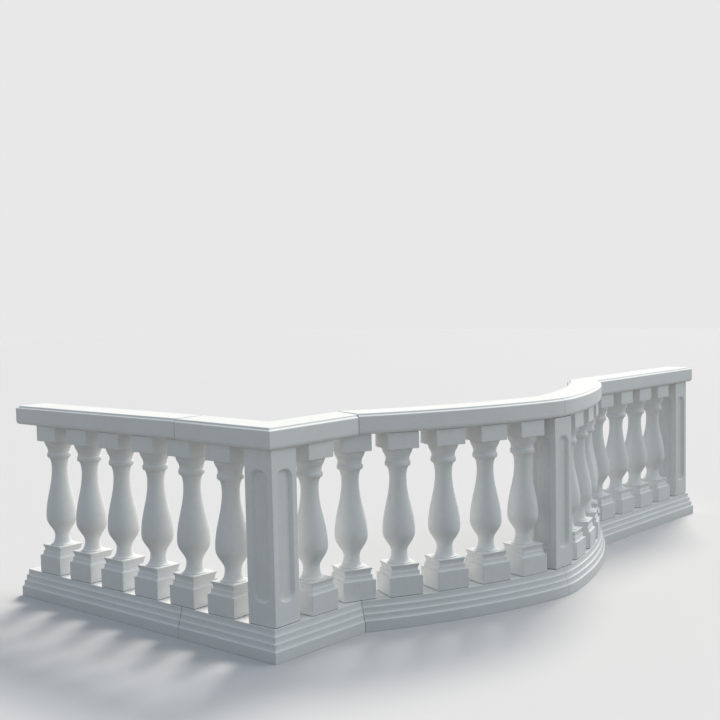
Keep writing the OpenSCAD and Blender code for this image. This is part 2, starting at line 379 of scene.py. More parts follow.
def wall_path(start, end, slope_a, slope_b, free_a, free_b, gap):
    """Side of a straight wall from start to end, at an offset to its right. slope is how far an end moves
    along the wall for each unit of offset; a free end moves in with the moulding, and a joint stays half a
    gap short."""
    start, end = np.array(start, float), np.array(end, float)
    along = (end - start) / np.linalg.norm(end - start)
    right = np.array([along[1], -along[0]])

    def side(offset, inset, trim, count):
        out, deep = offset[:, None], inset[:, None]
        a = start + out * right + along * ((deep if free_a else gap / 2) + slope_a * out)
        b = end + out * right - along * ((deep if free_b else gap / 2) - slope_b * out)
        return straight_side(a, b, trim[0], trim[1], count), a, b

    return side


def corner_path(gap):
    """Side of the L-shaped stone: along the return, round the corner, and along the front to the mitre."""

    def side(offset, _, trim, count):
        one, turn = np.ones_like(offset), 0.004
        a = np.stack([-offset, (RETURN_JOINT - gap / 2) * one], 1)
        c = np.stack([-offset, -offset], 1)
        b = np.stack([(FRONT_JOINT[0] - gap / 2) * one - MITRE * offset, -offset], 1)
        first = straight_side(a, c, trim[0], turn, count // 2)
        second = straight_side(c, b, turn, trim[1], count - count // 2 - 3)
        return np.concatenate([first, bridge(first[:, -1], c, second[:, 0], 3), second], 1), a, b

    return side


def bow_point(angle, offset):
    """Point of the bow at an offset from its centre line, where the line has turned by angle from the
    wall's own heading: on the near arc, on the short arc of the crown, or on the far arc, which mirrors the
    near one."""
    crown = np.abs(angle) < CROWN_TURN
    x = np.where(crown, BOW_MID[0], BOW_MID[0] - np.sign(angle) * (BOW_CENTRE[0] - BOW_MID[0]))
    y = np.where(crown, CROWN_CENTRE_Y, BOW_CENTRE[1])
    radius = np.where(crown, CROWN_RADIUS, BOW_RADIUS) + offset
    return np.stack([x + radius * np.sin(angle), y - radius * np.cos(angle)], -1)


def bow_path(far, gap):
    """Side of one of the bow's two halves, between the mitred joint and the finer joint in the middle of
    the crown. Each offset starts where its own arc crosses the mitre. The far half mirrors the near one,
    run backwards."""

    def side(offset, _, trim, count):
        radius, crown = BOW_RADIUS + offset, CROWN_RADIUS + offset
        b = BOW_RADIUS * math.cos(HEAD_START / 2)
        reach = b - np.sqrt(b * b + radius**2 - BOW_RADIUS**2)
        joint = FRONT_JOINT + reach[:, None] * np.array([MITRE, 1]) / math.hypot(MITRE, 1)
        start = np.arctan2(joint[:, 0] - BOW_CENTRE[0], BOW_CENTRE[1] - joint[:, 1]) + gap / 2 / radius
        end = -MIDDLE_GAP * gap / 2 / crown
        first, last = start + trim[1 if far else 0] / radius, end - trim[0 if far else 1] / crown
        if far:
            start, end, first, last = -end, -start, -last, -first
        s = np.linspace(0, 1, count)
        line = bow_point(first[:, None] + (last - first)[:, None] * s, offset[:, None])
        return line, bow_point(start, offset), bow_point(end, offset)

    return side


def stone_course(node, profile, half, path, trims, along, material, tilt):
    """Closed stone: the profile carried round the outline of its plan. At each height the outline is the
    path's right side, an end, its left side and the other end, all set in by the profile, with curved
    corners between them. tilt lifts the stone by its first value, plus the second times x and the third
    times y."""
    across, bend = 5, 3
    inset, z = profile[:, 0], profile[:, 1]
    offset = half - inset
    right, ra, rb = path(offset, inset, trims, along)
    left, la, lb = path(-offset, inset, trims, along)
    left = left[:, ::-1]
    end = straight_side(rb, lb, trims[1], trims[1], across)
    start = straight_side(la, ra, trims[0], trims[0], across)
    sides, corners = [right, end, left, start], [rb, lb, la, ra]
    parts = []
    for this, corner, after in zip(sides, corners, sides[1:] + sides[:1]):
        parts += [this, bridge(this[:, -1], corner, after[:, 0], bend)]
    loop = np.concatenate(parts, 1)
    rows, columns = loop.shape[:2]
    verts = np.concatenate([loop, np.broadcast_to(z[:, None, None], (rows, columns, 1))], 2).reshape(-1, 3)
    verts[:, 2] += tilt[0] + verts[:, :2] @ np.array(tilt[1:])
    side = np.arange(along)
    other = along + 2 * bend + across + side[::-1]
    top = (rows - 1) * columns
    strip = np.stack([side[:-1], side[1:], other[1:], other[:-1]], 1)
    quads = np.concatenate([ring_quads(rows, columns), strip + top, strip[:, ::-1]])
    round_end = np.arange(along - 1, along + 2 * bend + across + 1)
    round_start = np.append(np.arange(2 * along + 2 * bend + across - 1, columns), 0)
    caps = [round_end + top, round_start + top, round_end[::-1], round_start[::-1]]
    # Hollow mark of each profile row, which the material darkens as dirt and painted shade.
    hollow = np.repeat(shelter(profile, np.array([-1.0, 0.0])), columns)
    flatten_faces(mesh_piece(node + "_stone", verts, quads, caps, {"hollow": hollow}, material, [node]))


def lay_course(kind, profile, half, corner, material):
    """All five stones of a course, in order from the return's free end to the far end. The corner stone of
    the coping has settled: it lies lowest at its corner and rises evenly, by four fifths of that at the
    return's joint and by three fifths at the front's."""
    gap = bpy.context.scene.stone_shape.joint
    drop = bpy.context.scene.stone_shape.settled if kind == "coping" else 0.0
    level, settled = (0.0, 0.0, 0.0), (-drop, 0.6 * drop / FRONT_JOINT[0], 0.8 * drop / RETURN_JOINT)
    return_end, far_end = high(f"return_{kind}")[1], high(f"far_{kind}")[0]
    return_wall = wall_path((0, return_end), (0, RETURN_JOINT), 0, 0, True, False, gap)
    far_wall = wall_path((FAR_JOINT, 0), (far_end, 0), MITRE, 0, False, True, gap)
    small = 0.0012
    stones = (
        ("return", return_wall, (corner, small), 24, level),
        ("corner", corner_path(gap), (small, small), 27, settled),
        ("near_bow", bow_path(False, gap), (small, small), 48, level),
        ("far_bow", bow_path(True, gap), (small, small), 48, level),
        ("far", far_wall, (small, corner), 24, level),
    )
    for place, path, trims, along, tilt in stones:
        stone_course(f"{place}_{kind}", profile, half, path, trims, along, material, tilt)


# Balusters

# Points of a ring on each corner and on each side between two
RING_CORNER, RING_SIDE = 5, 11


def square_ring(half, corner):
    """Points round a square with quarter-circle corners, anticlockwise from the start of one corner."""
    a = np.linspace(0, math.pi / 2, RING_CORNER)
    inner = half - corner
    arc = np.stack([inner + corner * np.cos(a), inner + corner * np.sin(a)], 1)
    s = np.linspace(0, 1, RING_SIDE + 2)[1:-1, None]
    flat = np.concatenate([inner - 2 * inner * s, np.full_like(s, half)], 1)
    x, y = np.concatenate([arc, flat]).T
    quarters = ((1, 0), (0, 1), (-1, 0), (0, -1))
    return np.concatenate([np.stack([x * c - y * s, x * s + y * c], 1) for c, s in quarters])


def round_ring(radius):
    """Even points round a circle, numbered as square_ring numbers its own."""
    count = RING_CORNER + RING_SIDE
    a = math.pi / 4 + (np.arange(4 * count) - (RING_CORNER - 1) / 2) * math.pi / 2 / count
    return radius * np.stack([np.cos(a), np.sin(a)], 1)


def swell(a, b, u):
    """Half a cosine wave from a to b as u goes from 0 to 1."""
    return a + (b - a) * (1 - np.cos(math.pi * u)) / 2


def pedestal_outline(arris, bed):
    """Half width and height up the square foot: block, cove, band, scotia and cap. The cove is a quarter
    ellipse and the scotia an arc whose deepest line is a third of the way up."""
    block, band, scotia, cap = 0.12 * STANDING, 0.029 * STANDING, 0.033 * STANDING, 0.008 * STANDING
    member, ledge, cove_rise, dip = BLOCK_HALF - 0.012, 0.0024, 0.012, 0.0055
    z1, z2, z3 = block, block + band, block + band + scotia
    a = np.linspace(0, math.pi / 2, 8)
    cove_foot = BLOCK_HALF - ledge
    cove = list(zip(cove_foot - (cove_foot - member) * np.sin(a), z1 + cove_rise * (1 - np.cos(a))))
    deepest = z2 + 0.3 * scotia
    r = ((0.7 * scotia) ** 2 + dip**2) / (2 * dip)
    z = np.linspace(z2, z3, 10)
    curve = list(zip(member - dip + r - np.sqrt(r * r - (z - deepest) ** 2), z))
    points = [(BLOCK_HALF - 0.02, bed), (BLOCK_HALF, bed), (BLOCK_HALF, z1)] + cove + [(member, z2)] + curve
    points += [(member, z3 + cap), (member - 0.006, z3 + cap)]
    radii = [0, 0.0015, arris] + [0] * len(cove) + [0.0015, 0.0006] + [0] * (len(curve) - 1) + [arris, 0]
    return soften(points, radii), z3 + cap


def turned_outline(foot):
    """Radius and height up the turned part: disc, hollow, waist, belly, neck, ring, collar and echinus.
    Hollows are quarter ellipses and the belly rises and falls as half cosine waves."""
    disc, waist, belly, neck, ring, collar, echinus = 0.0585, 0.0375, 0.0765, 0.040, 0.0605, 0.0555, 0.0715
    waist_z, belly_z, neck_z, ring_z, echinus_z = (f * STANDING for f in (0.257, 0.385, 0.713, 0.784, 0.83))
    disc_rise, ring_rise, echinus_rise = 0.006 * STANDING, 0.032 * STANDING, 0.06 * STANDING
    step, bulge, quirk = 0.0025, 0.0048, 0.0015
    a = np.linspace(0, math.pi / 2, 13)
    b = np.linspace(-math.pi / 2, math.pi / 2, 13)
    u = np.linspace(0, 1, 21)[1:]
    v = np.linspace(0, 1, 11)[1:]
    z0 = foot + disc_rise
    edge = [(disc - 0.001, foot), (disc, foot + 0.0015), (disc, z0), (disc - step, z0)]
    plate = soften(edge, [0, 0.0015, 0.002, 0])
    narrowing = (disc - step - waist) * (1 - np.sin(a))
    hollow = np.stack([waist + narrowing, waist_z - (waist_z - z0) * np.cos(a)], 1)
    rise = np.stack([swell(belly, waist, (1 - u) ** 1.2), waist_z + (belly_z - waist_z) * u], 1)
    fall = np.stack([swell(belly, neck, u), belly_z + (neck_z - belly_z) * u], 1)
    shoulder = ring - bulge
    flare = np.stack([shoulder - (shoulder - neck) * np.cos(a), neck_z + (ring_z - neck_z) * np.sin(a)], 1)
    bead = np.stack([shoulder + bulge * np.cos(b), ring_z + ring_rise / 2 * (1 + np.sin(b))], 1)
    band = [(collar, ring_z + ring_rise + quirk), (collar, echinus_z)]
    bowl = np.stack([swell(collar, echinus, v), echinus_z + echinus_rise * v], 1)
    rim = [(echinus, ABACUS_FOOT)]
    return np.concatenate([plate, hollow[1:], rise, fall, flare[1:], bead[1:], band, bowl, rim])


def baluster_rings(arris, bed):
    """Rings of a whole baluster from the mortar under its block to the mortar over its abacus, with the
    hollow mark of each ring, where the material tints dirt and painted shade: square rings, then round ones,
    then square ones again, so that the surface is closed and single."""
    corner, under, over, head = 0.003, 0.068, 0.060, STANDING - HEAD_BED
    foot, foot_top = pedestal_outline(arris, bed)
    shaft = turned_outline(foot_top)
    edge = [(under, ABACUS_FOOT), (ABACUS_HALF, ABACUS_FOOT), (ABACUS_HALF, head), (over, head)]
    abacus = soften(edge, [0, arris, 0.0012, 0])
    rings = [square_ring(wide, corner) for wide in foot[:, 0]]
    rings += [round_ring(radius) for radius in shaft[:, 0]]
    rings += [square_ring(wide, corner) for wide in abacus[:, 0]]
    hollow = np.concatenate([shelter(part, np.array([1.0, 0])) for part in (foot, shaft, abacus)])
    rings = np.array(rings)
    level = np.concatenate([foot, shaft, abacus])[:, 1]
    z = np.broadcast_to(level[:, None, None], rings.shape[:2] + (1,))
    return np.concatenate([rings, z], 2), np.repeat(hollow, rings.shape[1])


def heading_at(node):
    """Turn of a baluster or pier about its axis: on the bow square to the arc it stands on, and elsewhere
    square to the wall, or askew as ASKEW says."""
    x, y = centre(node)[:2]
    if node.startswith("near_bow"):
        return -math.atan2(BOW_CENTRE[0] - x, BOW_CENTRE[1] - y)
    if node.startswith("far_bow"):
        return math.atan2(BOW_CENTRE[0] - (2 * BOW_MID[0] - x), BOW_CENTRE[1] - y)
    return math.radians(ASKEW.get(node, 0.0))


# Piers


def right_half(inner, side, lower, upper, levels, foot_z, head_z):
    """Right half of a closed outline on a pier's face, from the middle of its foot to the middle of its
    head: foot, lower corner, upright side at levels, upper corner and head."""
    foot = np.linspace(0, inner, 4)[:-1]
    return np.concatenate(
        [
            np.stack([foot, np.full(len(foot), foot_z)], 1), lower,
            np.stack([np.full(len(levels), side), levels], 1), upper,
            np.stack([foot[::-1], np.full(len(foot), head_z)], 1),
        ]
    )


def panel_loops(half, lowest, highest, radius, angles, foot_z, head_z):
    """Two loops with as many points. One is the right half of a rectangle with round corners. The other is
    the same points moved out to the pier's edges: straight out from the straight runs, and along the ray
    from the corner's centre through each point of its corners."""
    inner, low_z, high_z = half - radius, lowest + radius, highest - radius
    levels = np.linspace(low_z, high_z, 12)[1:-1]
    s, c = np.sin(angles), np.cos(angles)

    def corners(lower, upper):
        return lower + [0, low_z], upper[::-1] * [1, -1] + [0, high_z]

    def cast(drop):
        t = np.minimum((PIER_HALF - inner) / np.maximum(s, 1e-9), drop / np.maximum(c, 1e-9))
        return np.stack([inner + t * s, -t * c], 1)

    arc = np.stack([inner + radius * s, -radius * c], 1)
    panel = right_half(inner, half, *corners(arc, arc), levels, lowest, highest)
    edges = corners(cast(low_z - foot_z), cast(head_z - high_z))
    return panel, right_half(inner, PIER_HALF, *edges, levels, foot_z, head_z)


def pier_face(splay, foot_z, head_z):
    """One face of a pier, looking at it from -Y: loops run from the face's own edges to the panel's outline,
    over its soft arris, down its splayed wall and into its floor. Its head, wall and floor are marked as
    hollows, which the material darkens as dirt and painted shade."""
    depth, margin, radius, head_mark = 0.016, 0.0295, 0.040, 0.9
    half, lowest, highest = PIER_HALF - margin, 0.124 * STANDING + 0.005, 0.882 * STANDING - 0.005
    reach = PIER_HALF - half + radius
    fit = [math.atan2(reach, lowest + radius - foot_z), math.atan2(reach, head_z - highest + radius)]
    angles = np.unique(np.round(np.concatenate([np.linspace(0, math.pi / 2, 12), fit]), 9))
    edge = panel_loops(half, lowest, highest, radius, angles, foot_z, head_z)[1]
    inward = np.array([-0.0022, -0.0006, 0.0003, splay - 0.0012, splay, splay + 0.0020])
    sunk = np.array([0, 0.0005, 0.0022, depth - 0.0022, depth - 0.0006, depth])
    # Hollow marks of the loops: the panel's wall and floor get the tint of dirt and painted shade.
    marks = [0, 0, -0.3, 0, 0.7, 1.0, 0.7]
    loops = [np.c_[edge, np.zeros(len(edge))]]
    for move, down in zip(inward, sunk):
        outline = (half - move, lowest + move, highest - move, radius - move)
        ring = panel_loops(*outline, angles, foot_z, head_z)[0]
        loops.append(np.c_[ring, np.full(len(ring), down)])
    right = np.array(loops)
    left = right[:, -2:0:-1] * [-1, 1, 1]
    loop = np.concatenate([right, left], 1)
    rows, columns = loop.shape[:2]
    verts = np.stack([loop[..., 0], loop[..., 2] - PIER_HALF, loop[..., 1]], -1).reshape(-1, 3)
    n, base = right.shape[1], (rows - 1) * columns
    a = np.arange(1, n - 2)
    mirror = columns - a
    floor = np.stack([a, a + 1, mirror - 1, mirror], 1) + base
    caps = [[base, base + 1, base + columns - 1], [base + n - 2, base + n - 1, base + n]]
    hollow = np.repeat(marks, columns)
    # The face's head, under the coping, is marked for the tint of dirt and painted shade.
    hollow[:columns] = np.where(verts[:columns, 2] > head_z - 0.001, head_mark, 0.0)
    return verts, np.concatenate([ring_quads(rows, columns), floor]), caps, hollow


def weld(verts, quads, caps, values):
    """Joins vertices that lie at the same place, to a hundredth of a millimetre."""
    key = np.round(verts * 1e5).astype(int)
    _, first, index = np.unique(key, axis=0, return_index=True, return_inverse=True)
    index = index.reshape(-1)
    return verts[first], index[quads], [index[np.array(c)] for c in caps], values[first]


def pier_mesh(splay, bed):
    """Vertices and faces of a pier about its axis: four faces turned about it and welded at their edges."""
    foot_z, head_z, near = bed, STANDING - HEAD_BED, 1e-5
    face, face_quads, face_caps, face_hollow = pier_face(splay, foot_z, head_z)
    verts = np.concatenate([face @ turned(turn * math.pi / 2) for turn in range(4)])
    starts = np.arange(4) * len(face)
    quads = np.concatenate([face_quads + start for start in starts])
    caps = [np.array(cap) + start for start in starts for cap in face_caps]
    verts, quads, caps, hollow = weld(verts, quads, caps, np.tile(face_hollow, 4))
    for level, flip in ((foot_z, True), (head_z, False)):
        edge = np.flatnonzero(np.abs(verts[:, 2] - level) < near)
        order = edge[np.argsort(np.arctan2(verts[edge, 1], verts[edge, 0]))]
        caps.append(order[::-1] if flip else order)
    return verts, quads, caps, hollow


def bevel_box_edges(piece, verts):
    """Gives a bevel weight to the edges that lie on two of the pier's outer planes, and rounds them. verts
    are the pier's, about its axis and before its turn."""
    mesh, near = piece.data, 1e-5
    limits = [(0, -PIER_HALF), (0, PIER_HALF), (1, -PIER_HALF), (1, PIER_HALF)]
    limits += [(2, verts[:, 2].min()), (2, verts[:, 2].max())]
    planes = np.stack([np.abs(verts[:, axis] - at) < near for axis, at in limits], 1)
    ends = np.zeros(len(mesh.edges) * 2, np.int32)
    mesh.edges.foreach_get("vertices", ends)
    ends = ends.reshape(-1, 2)
    shared = (planes[ends[:, 0]] & planes[ends[:, 1]]).sum(1)
    weight = mesh.attributes.new("bevel_weight_edge", "FLOAT", "EDGE")
    weight.data.foreach_set("value", (shared >= 2).astype(np.float32))
    bevel = piece.modifiers.new("Soft arrises", "BEVEL")
    bevel.limit_method = "WEIGHT"
    bevel.width = 0.0028
    bevel.segments = 3


# Materials


def feed(tree, socket, value):
    """Links an input from another socket, or sets it to a value."""
    if isinstance(value, bpy.types.NodeSocket):
        tree.links.new(value, socket)
    else:
        socket.default_value = value


def node(tree, kind, inputs=None, **settings):
    """Node with its settings and inputs; an input is a value, or a socket to link from."""
    made = tree.nodes.new("ShaderNode" + kind)
    for key, value in settings.items():
        setattr(made, key, value)
    for key, value in (inputs or {}).items():
        feed(tree, made.inputs[key], value)
    return made


def group(name, inputs, outputs):
    """Empty shader node group with named sockets: its tree, and the sockets it is given and puts out."""
    tree = bpy.data.node_groups.new(name, "ShaderNodeTree")
    for label, kind, default in inputs:
        socket = tree.interface.new_socket(name=label, in_out="INPUT", socket_type="NodeSocket" + kind)
        if default is not None:
            socket.default_value = default
    for label, kind in outputs:
        tree.interface.new_socket(name=label, in_out="OUTPUT", socket_type="NodeSocket" + kind)
    return tree, tree.nodes.new("NodeGroupInput").outputs, tree.nodes.new("NodeGroupOutput").inputs


def placed_group(tree, name, build, inputs):
    """Shader group placed in a material, as its outputs. It is built when it is first asked for."""
    return node(tree, "Group", inputs, node_tree=bpy.data.node_groups.get(name) or build(name)).outputs


def blend(tree, factor, a, b, mode="MIX"):
    """Colour mix, as a socket. Sockets 6 and 7 take in the two colours, and 2 puts out their mix."""
    inputs = {0: factor, 6: a, 7: b}
    return node(tree, "Mix", inputs, data_type="RGBA", blend_type=mode, clamp_factor=True).outputs[2]


def maths(tree, operation, a, b=0.5, c=0.5):
    """Math node, as a socket."""
    return node(tree, "Math", {0: a, 1: b, 2: c}, operation=operation).outputs[0]


def ramp(tree, value, low_in, high_in, low_out=0.0, high_out=1.0):
    """Smooth step of a value between two levels, as a socket."""
    inputs = {0: value, 1: low_in, 2: high_in, 3: low_out, 4: high_out}
    return node(tree, "MapRange", inputs, interpolation_type="SMOOTHSTEP").outputs[0]


def noise(tree, place, scale, detail, roughness):
    """Noise with so many cells to the metre, as a socket."""
    inputs = {"Vector": place, "Scale": scale, "Detail": detail, "Roughness": roughness}
    return node(tree, "TexNoise", inputs).outputs["Fac"]


def relief(tree, height, strength, distance):
    """Normal bent by a height, as a socket."""
    inputs = {"Strength": strength, "Distance": distance, "Height": height}
    return node(tree, "Bump", inputs).outputs["Normal"]


def rgba(colour):
    """Colour property as the four values that a socket takes."""
    return (*colour, 1.0)


def cloud_group(name):
    """Cloudy tone of cast stone: broad patches plus finer ones, and dark grains of aggregate."""
    tree, given, out = group(
        name,
        [("Place", "Vector", None), ("Colour", "Color", (0.8, 0.8, 0.8, 1)), ("Mottling", "Float", 0.4)],
        [("Colour", "Color"), ("Grain", "Float")],
    )
    place, colour = given["Place"], given["Colour"]
    broad = noise(tree, place, 3.2, 4.0, 0.55)
    fine = noise(tree, place, 38.0, 5.0, 0.62)
    grain = noise(tree, place, 900.0, 2.0, 0.6)
    finer = maths(tree, "MULTIPLY", ramp(tree, fine, 0.3, 0.72), 0.4)
    patches = maths(tree, "MULTIPLY_ADD", ramp(tree, broad, 0.35, 0.68), 0.6, finer)
    dark = blend(tree, 1.0, colour, (0.90, 0.885, 0.855, 1), "MULTIPLY")
    pale = blend(tree, 1.0, colour, (1.035, 1.03, 1.02, 1), "MULTIPLY")
    mixed = blend(tree, given["Mottling"], colour, blend(tree, patches, pale, dark))
    speck = maths(tree, "MULTIPLY", ramp(tree, grain, 0.60, 0.78), 0.22)
    feed(tree, out["Colour"], blend(tree, speck, mixed, (0.42, 0.40, 0.37, 1)))
    feed(tree, out["Grain"], grain)
    return tree


def pore_group(name):
    """Air holes left by casting: round cells, kept only where a broad noise lets them, and a bump height."""
    tree, given, out = group(
        name,
        [("Place", "Vector", None), ("Size", "Float", 140.0), ("Share", "Float", 0.5)],
        [("Mask", "Float"), ("Height", "Float")],
    )
    place = given["Place"]
    cells = node(tree, "TexVoronoi", {"Vector": place, "Scale": given["Size"]}, feature="F1").outputs
    pick = node(tree, "TexWhiteNoise", {"Vector": cells["Position"]}, noise_dimensions="3D").outputs["Value"]
    allowed = ramp(tree, noise(tree, place, 26.0, 3.0, 0.6), 0.42, 0.66)
    chosen = maths(tree, "LESS_THAN", pick, maths(tree, "MULTIPLY", given["Share"], allowed))
    # This mask also sets where painted shade darkens the stone within the holes.
    mask = maths(tree, "MULTIPLY", ramp(tree, cells["Distance"], 0.10, 0.26, 1.0, 0.0), chosen)
    skin = maths(tree, "MULTIPLY", noise(tree, place, 300.0, 4.0, 0.65), 0.35)
    feed(tree, out["Mask"], mask)
    feed(tree, out["Height"], maths(tree, "SUBTRACT", skin, mask))
    return tree


def dirt_and_shade_group(name):
    """Tint of dirt and painted shade in hollows and just under ledges, broken up by noise, from the mesh's
    hollow mark.
    """
    tree, given, out = group(
        name,
        [
            ("Place", "Vector", None), ("Colour", "Color", (0.8, 0.8, 0.8, 1)),
            ("Tint", "Color", (0.5, 0.5, 0.5, 1)), ("Amount", "Float", 0.4),
        ],
        [("Colour", "Color")],
    )
    mark = node(tree, "Attribute", attribute_name="hollow").outputs["Fac"]
    stretched = node(tree, "Mapping", {"Vector": given["Place"], "Scale": (1, 1, 0.22)}).outputs["Vector"]
    runs = ramp(tree, noise(tree, stretched, 55.0, 4.0, 0.6), 0.30, 0.70, 0.35, 1.0)
    amount = maths(tree, "MULTIPLY", ramp(tree, mark, 0.15, 1.0), runs)
    share = maths(tree, "MULTIPLY", amount, given["Amount"])
    feed(tree, out["Colour"], blend(tree, share, given["Colour"], given["Tint"]))
    return tree


def toned_material(name, colour, mottling):
    """New material with the cast stone's tone: itself, its tree, its shader's inputs, its place and tone."""
    material = bpy.data.materials.new(name)
    material.use_nodes = True
    tree = material.node_tree
    place = node(tree, "TexCoord").outputs["Object"]
    inputs = {"Place": place, "Colour": rgba(colour), "Mottling": mottling}
    tone = placed_group(tree, "Cast stone tone", cloud_group, inputs)
    return material, tree, tree.nodes["Principled BSDF"].inputs, place, tone


def stone_material(name, pores, roughness):
    """Cast stone: cloudy tone, a tint of dirt and painted shade in the hollows, air holes darkened with
    painted shade, and a fine sandy skin. pores is the most that the share of cells with an air hole comes to,
    and the strength of the relief."""
    look = bpy.context.scene.stone_look
    material, tree, shader, place, tone = toned_material(name, look.stone, look.mottling)
    tint = {"Place": place, "Colour": tone["Colour"], "Tint": rgba(look.sheltered), "Amount": look.dirt_and_shade_strength}
    # The hollows are tinted darker: partly dirt, partly painted shade.
    sheltered = placed_group(tree, "Sheltered tint", dirt_and_shade_group, tint)
    holes = placed_group(tree, "Air holes", pore_group, {"Place": place, "Size": 150.0, "Share": pores})
    # Painted shade within the air holes: the holes' mask darkens the colour.
    hole_shade = maths(tree, "MULTIPLY", holes["Mask"], 0.55)
    feed(tree, shader["Base Color"], blend(tree, hole_shade, sheltered["Colour"], (0.30, 0.28, 0.25, 1)))
    feed(tree, shader["Roughness"], ramp(tree, tone["Grain"], 0.3, 0.7, roughness - 0.06, roughness + 0.06))
    feed(tree, shader["Normal"], relief(tree, holes["Height"], pores, 0.0012))
    shader["Specular IOR Level"].default_value = 0.3
    return material


def mortar_material():
    """Sandy mortar: a coarser grain than the stone's and a rougher skin."""
    material, tree, shader, place, tone = toned_material("Mortar", bpy.context.scene.stone_look.mortar, 1.0)
    feed(tree, shader["Base Color"], tone["Colour"])
    feed(tree, shader["Normal"], relief(tree, noise(tree, place, 420.0, 4.0, 0.7), 0.8, 0.002))
    shader["Roughness"].default_value = 0.92
    shader["Specular IOR Level"].default_value = 0.2
    return material


# Operators and what they build


class LayPlinth(bpy.types.Operator):
    """Lay the five moulded stones of the plinth"""

    bl_idname = "balustrade.lay_plinth"
    bl_label = "Lay plinth"

    def execute(self, context):
        profile, corner = plinth_profile(context.scene.stone_shape.arris), 0.003
        material = stone_material("Plinth_stone", 0.5, 0.84)
        lay_course("plinth", profile, PLINTH_HALF, corner, material)
        return {"FINISHED"}


class LayCoping(bpy.types.Operator):
    """Lay the five stones of the coping"""

    bl_idname = "balustrade.lay_coping"
    bl_label = "Lay coping"

    def execute(self, context):
        profile, corner = coping_profile(), context.scene.stone_shape.coping_corner
        material = stone_material("Coping_stone", 0.4, 0.80)
        lay_course("coping", profile, COPING_HALF, corner, material)
        return {"FINISHED"}


class RaisePiers(bpy.types.Operator):
    """Raise the three square piers with their sunk panels"""

    bl_idname = "balustrade.raise_piers"
    bl_label = "Raise piers"

    def execute(self, context):
        shape = context.scene.stone_shape
        material = stone_material("Pier_stone", 0.45, 0.82)
        verts, quads, caps, hollow = pier_mesh(shape.splay, shape.bed)
        marks = {"hollow": hollow}
        for name in PIERS:
            placed = stand(verts, name, PLINTH_TOP)
            piece = mesh_piece(name + "_stone", placed, quads, caps, marks, material, [name])
            bevel_box_edges(piece, verts)
            flatten_faces(piece)
        return {"FINISHED"}


class TurnBalusters(bpy.types.Operator):
    """Turn the twenty balusters and stand them where the frame has them"""

    bl_idname = "balustrade.turn_balusters"
    bl_label = "Turn balusters"

    def execute(self, context):
        shape = context.scene.stone_shape
        material = stone_material("Baluster_stone", 0.4, 0.80)
        rings, hollow = baluster_rings(shape.arris, shape.bed)
        rows, columns = rings.shape[:2]
        quads, marks = ring_quads(rows, columns), {"hollow": hollow}
        caps = [np.arange(columns)[::-1], np.arange(columns) + (rows - 1) * columns]
        for name in BALUSTERS:
            verts = stand(rings.reshape(-1, 3), name, PLINTH_TOP)
            piece = mesh_piece(name + "_stone", verts, quads, caps, marks, material, [name])
            flatten_faces(piece)
        return {"FINISHED"}


def mortar_bed(size, low_z, high_z, rng):
    """Slab about its own axis, from one height to another: a square with round corners, whose four sides
    are set in from the stone's faces by unequal amounts."""
    right, left, back, front = rng.uniform(0.0008, 0.0045, 4)
    ring = square_ring(1.0, 0.03)
    reach = size - np.array([np.where(ring[:, 0] > 0, right, left), np.where(ring[:, 1] > 0, back, front)]).T
    flat = ring * reach
    return np.concatenate([np.tile(flat, (2, 1)), np.repeat([low_z, high_z], len(flat))[:, None]], 1)


class PointJoints(bpy.types.Operator):
    """Bed the blocks and piers in mortar"""

    bl_idname = "balustrade.point_joints"
    bl_label = "Point joints"

    def execute(self, context):
        rng, bite = np.random.default_rng(7), 0.001
        bed_top = PLINTH_TOP + context.scene.stone_shape.bed + bite
        beds = [(PLINTH_TOP - bite, bed_top), (SOFFIT - HEAD_BED - bite, SOFFIT + bite)]
        verts, quads, caps = [], [], []
        for name in BALUSTERS + PIERS:
            halves = (PIER_HALF, PIER_HALF) if name in PIERS else (BLOCK_HALF, ABACUS_HALF)
            for size, (low_z, high_z) in zip(halves, beds):
                slab = stand(mortar_bed(size, low_z, high_z, rng), name, 0)
                start, count = len(verts) * len(slab), len(slab) // 2
                verts.append(slab)
                quads.append(ring_quads(2, count, start))
                caps += [np.arange(count)[::-1] + start, np.arange(count) + count + start]
        verts, quads, material = np.concatenate(verts), np.concatenate(quads), mortar_material()
        flatten_faces(mesh_piece("mortar_beds", verts, quads, caps, {}, material, []))
        return {"FINISHED"}


def seen_directly(tree):
    """1 for camera rays and for what mirrors and clear things show, as a socket."""
    path = node(tree, "LightPath").outputs
    either = maths(tree, "MAXIMUM", path["Is Camera Ray"], path["Is Glossy Ray"])
    return maths(tree, "MAXIMUM", either, path["Is Transmission Ray"])


def set_floor(studio):
    """Plain floor: pale to the camera and in reflections, and mid grey to the light that it throws back."""
    far = 40.0
    corners = [(-far, -far, 0), (far, -far, 0), (far, far, 0), (-far, far, 0)]
    mesh = bpy.data.meshes.new("Floor")
    mesh.from_pydata(corners, [], [(0, 1, 2, 3)])
    floor = bpy.data.objects.new("Floor", mesh)
    bpy.context.scene.collection.objects.link(floor)
    material = bpy.data.materials.new("Floor")
    material.use_nodes = True
    tree = material.node_tree
    shader = tree.nodes["Principled BSDF"].inputs
    shown = blend(tree, seen_directly(tree), rgba(studio.returned), rgba(studio.floor))
    feed(tree, shader["Base Color"], shown)
    shader["Roughness"].default_value = 0.9
    shader["Specular IOR Level"].default_value = 0.1
    mesh.materials.append(material)


